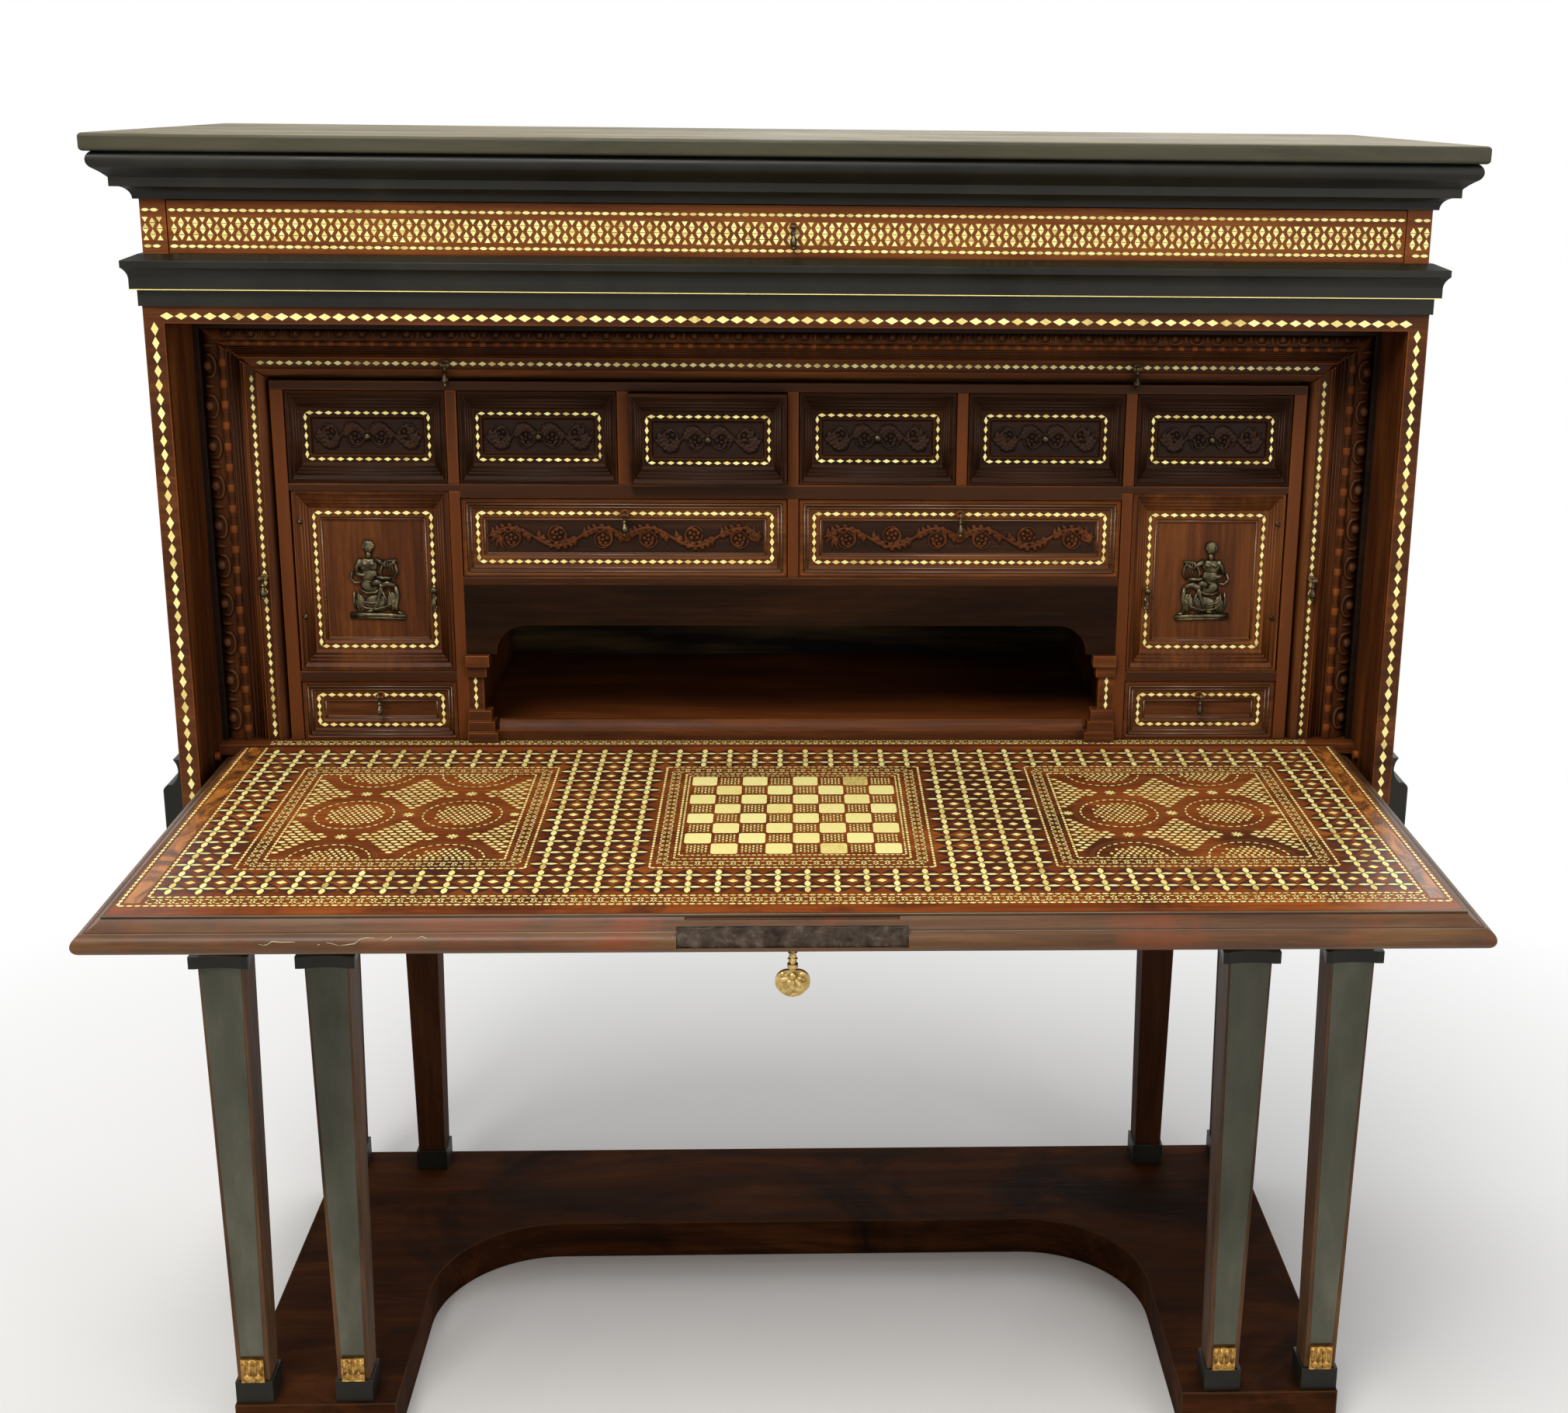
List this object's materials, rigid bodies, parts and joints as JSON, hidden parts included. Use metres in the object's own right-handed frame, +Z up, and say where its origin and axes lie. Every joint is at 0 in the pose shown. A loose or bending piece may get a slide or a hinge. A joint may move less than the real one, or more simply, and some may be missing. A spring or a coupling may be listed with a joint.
{
  "type": "fall-front writing cabinet",
  "caption": "Fall-front writing cabinet with inlaid leaf, pull-out boxes, drawers and doors, on a columned stand.",
  "frame": {"origin": "on the floor, in the middle of the width and of the depth", "axes": "+X to the right seen from the front, +Y to the back, +Z up"},
  "size_m": [1.416, 0.908, 1.472],
  "materials": {
    "walnut": "polished walnut, worn",
    "ebonised_wood": "ebonised, dusty",
    "raw_wood": "bare old wood",
    "stand_wood": "dark stained, waxed",
    "column_panel_wood": "dark grey-green paint",
    "gilt_wood": "old water gilding",
    "iron": "dark, worn",
    "brass": "aged brass",
    "bronze": "patinated cast bronze"
  },
  "bodies": {
    "case_and_stand": {"platform": "stand_wood", "front_columns": "column_panel_wood", "rear_columns": "stand_wood", "column_plinths": "ebonised_wood", "gilt_feet": "gilt_wood", "column_abaci": "ebonised_wood", "column_capitals": "gilt_wood", "stand_frame": "stand_wood", "case_bottom": "raw_wood", "case_sides": "walnut", "case_back": "raw_wood", "case_roof": "raw_wood", "face_frame": "walnut", "base_moulding": "ebonised_wood", "waist_moulding": "ebonised_wood", "cornice_moulding": "ebonised_wood", "frieze_frame": "walnut", "top_board": "ebonised_wood", "carcase_floor": "walnut", "carcase_linings": "raw_wood", "carcase_shelves": "raw_wood", "carcase_dividers": "walnut", "niche_apron": "walnut", "niche_pilasters": "walnut"},
    "leaf": {"leaf_board": "walnut", "leaf_moulding": "walnut", "lock_plate": "iron"},
    "key": {"key": "brass"},
    "loper_left": {"loper_left": "raw_wood"},
    "loper_right": {"loper_right": "raw_wood"},
    "frieze_drawer": {"frieze_drawer": "walnut"},
    "top_box": {"top_box_front": "walnut", "top_box_tray": "raw_wood"},
    "left_box": {"left_box_front": "walnut", "left_box_tray": "raw_wood"},
    "right_box": {"right_box_front": "walnut", "right_box_tray": "raw_wood"},
    "small_drawer_1": {"small_drawer_1": "walnut"},
    "small_drawer_2": {"small_drawer_2": "walnut"},
    "small_drawer_3": {"small_drawer_3": "walnut"},
    "small_drawer_4": {"small_drawer_4": "walnut"},
    "small_drawer_5": {"small_drawer_5": "walnut"},
    "small_drawer_6": {"small_drawer_6": "walnut"},
    "wide_drawer_left": {"wide_drawer_left": "walnut"},
    "wide_drawer_right": {"wide_drawer_right": "walnut"},
    "lower_drawer_left": {"lower_drawer_left": "walnut"},
    "lower_drawer_right": {"lower_drawer_right": "walnut"},
    "door_left": {"door_left": "walnut", "door_left_mount": "bronze"},
    "door_right": {"door_right": "walnut", "door_right_mount": "bronze"},
    "pull_wide_drawer_left": {"pull_wide_drawer_left": "brass"},
    "pull_wide_drawer_right": {"pull_wide_drawer_right": "brass"},
    "pull_lower_drawer_left": {"pull_lower_drawer_left": "brass"},
    "pull_lower_drawer_right": {"pull_lower_drawer_right": "brass"},
    "pull_frieze_drawer": {"pull_frieze_drawer": "brass"},
    "pull_top_box_left": {"pull_top_box_left": "brass"},
    "pull_top_box_right": {"pull_top_box_right": "brass"},
    "pull_left_box": {"pull_left_box": "brass"},
    "pull_right_box": {"pull_right_box": "brass"}
  },
  "joints": [
    {"name": "leaf_hinge", "type": "hinge", "parent": "case_and_stand", "child": "leaf", "pos_m": [0, 0.034, 0.787], "axis": [1, 0, 0], "range_deg": [-90, 0]},
    {"name": "key_turn", "type": "hinge", "parent": "leaf", "child": "key", "pos_m": [0, -0.441, 0.764], "axis": [0, 0, 1], "range_deg": [-90, 90]},
    {"name": "loper_left_slide", "type": "slide", "parent": "case_and_stand", "child": "loper_left", "axis": [0, -1, 0], "range_m": [-0.335, 0]},
    {"name": "loper_right_slide", "type": "slide", "parent": "case_and_stand", "child": "loper_right", "axis": [0, -1, 0], "range_m": [-0.335, 0]},
    {"name": "frieze_drawer_slide", "type": "slide", "parent": "case_and_stand", "child": "frieze_drawer", "axis": [0, -1, 0], "range_m": [0, 0.22]},
    {"name": "top_box_slide", "type": "slide", "parent": "case_and_stand", "child": "top_box", "axis": [0, -1, 0], "range_m": [0, 0.2]},
    {"name": "left_box_slide", "type": "slide", "parent": "case_and_stand", "child": "left_box", "axis": [0, -1, 0], "range_m": [0, 0.235]},
    {"name": "right_box_slide", "type": "slide", "parent": "case_and_stand", "child": "right_box", "axis": [0, -1, 0], "range_m": [0, 0.235]},
    {"name": "small_drawer_1_slide", "type": "slide", "parent": "case_and_stand", "child": "small_drawer_1", "axis": [0, -1, 0], "range_m": [0, 0.22]},
    {"name": "small_drawer_2_slide", "type": "slide", "parent": "case_and_stand", "child": "small_drawer_2", "axis": [0, -1, 0], "range_m": [0, 0.22]},
    {"name": "small_drawer_3_slide", "type": "slide", "parent": "case_and_stand", "child": "small_drawer_3", "axis": [0, -1, 0], "range_m": [-0.016, 0.204]},
    {"name": "small_drawer_4_slide", "type": "slide", "parent": "case_and_stand", "child": "small_drawer_4", "axis": [0, -1, 0], "range_m": [0, 0.22]},
    {"name": "small_drawer_5_slide", "type": "slide", "parent": "case_and_stand", "child": "small_drawer_5", "axis": [0, -1, 0], "range_m": [0, 0.22]},
    {"name": "small_drawer_6_slide", "type": "slide", "parent": "case_and_stand", "child": "small_drawer_6", "axis": [0, -1, 0], "range_m": [0, 0.22]},
    {"name": "wide_drawer_left_slide", "type": "slide", "parent": "case_and_stand", "child": "wide_drawer_left", "axis": [0, -1, 0], "range_m": [0, 0.22]},
    {"name": "wide_drawer_right_slide", "type": "slide", "parent": "case_and_stand", "child": "wide_drawer_right", "axis": [0, -1, 0], "range_m": [0, 0.22]},
    {"name": "lower_drawer_left_slide", "type": "slide", "parent": "case_and_stand", "child": "lower_drawer_left", "axis": [0, -1, 0], "range_m": [0, 0.22]},
    {"name": "lower_drawer_right_slide", "type": "slide", "parent": "case_and_stand", "child": "lower_drawer_right", "axis": [0, -1, 0], "range_m": [0, 0.22]},
    {"name": "door_left_hinge", "type": "hinge", "parent": "case_and_stand", "child": "door_left", "pos_m": [-0.552, 0.069, 0.98], "axis": [0, 0, -1], "range_deg": [0, 90]},
    {"name": "door_right_hinge", "type": "hinge", "parent": "case_and_stand", "child": "door_right", "pos_m": [0.552, 0.069, 0.98], "axis": [0, 0, 1], "range_deg": [0, 90]},
    {"name": "pull_wide_drawer_left_swing", "type": "hinge", "parent": "wide_drawer_left", "child": "pull_wide_drawer_left", "pos_m": [-0.18767, 0.06, 1.0603], "axis": [-1, 0, 0], "range_deg": [0, 75]},
    {"name": "pull_wide_drawer_right_swing", "type": "hinge", "parent": "wide_drawer_right", "child": "pull_wide_drawer_right", "pos_m": [0.18767, 0.06, 1.0603], "axis": [-1, 0, 0], "range_deg": [0, 75]},
    {"name": "pull_lower_drawer_left_swing", "type": "hinge", "parent": "lower_drawer_left", "child": "pull_lower_drawer_left", "pos_m": [-0.46917, 0.06, 0.8483], "axis": [-1, 0, 0], "range_deg": [0, 75]},
    {"name": "pull_lower_drawer_right_swing", "type": "hinge", "parent": "lower_drawer_right", "child": "pull_lower_drawer_right", "pos_m": [0.46917, 0.06, 0.8483], "axis": [-1, 0, 0], "range_deg": [0, 75]},
    {"name": "pull_frieze_drawer_swing", "type": "hinge", "parent": "frieze_drawer", "child": "pull_frieze_drawer", "pos_m": [0, -0.032, 1.38405], "axis": [-1, 0, 0], "range_deg": [0, 75]},
    {"name": "pull_top_box_left_swing", "type": "hinge", "parent": "top_box", "child": "pull_top_box_left", "pos_m": [-0.3791, 0.058, 1.2268], "axis": [-1, 0, 0], "range_deg": [0, 75]},
    {"name": "pull_top_box_right_swing", "type": "hinge", "parent": "top_box", "child": "pull_top_box_right", "pos_m": [0.3791, 0.058, 1.2268], "axis": [-1, 0, 0], "range_deg": [0, 75]},
    {"name": "pull_left_box_swing", "type": "hinge", "parent": "left_box", "child": "pull_left_box", "pos_m": [-0.5904, 0.058, 0.98697], "axis": [-1, 0, 0], "range_deg": [0, 75]},
    {"name": "pull_right_box_swing", "type": "hinge", "parent": "right_box", "child": "pull_right_box", "pos_m": [0.5904, 0.058, 0.98697], "axis": [-1, 0, 0], "range_deg": [0, 75]}
  ]
}
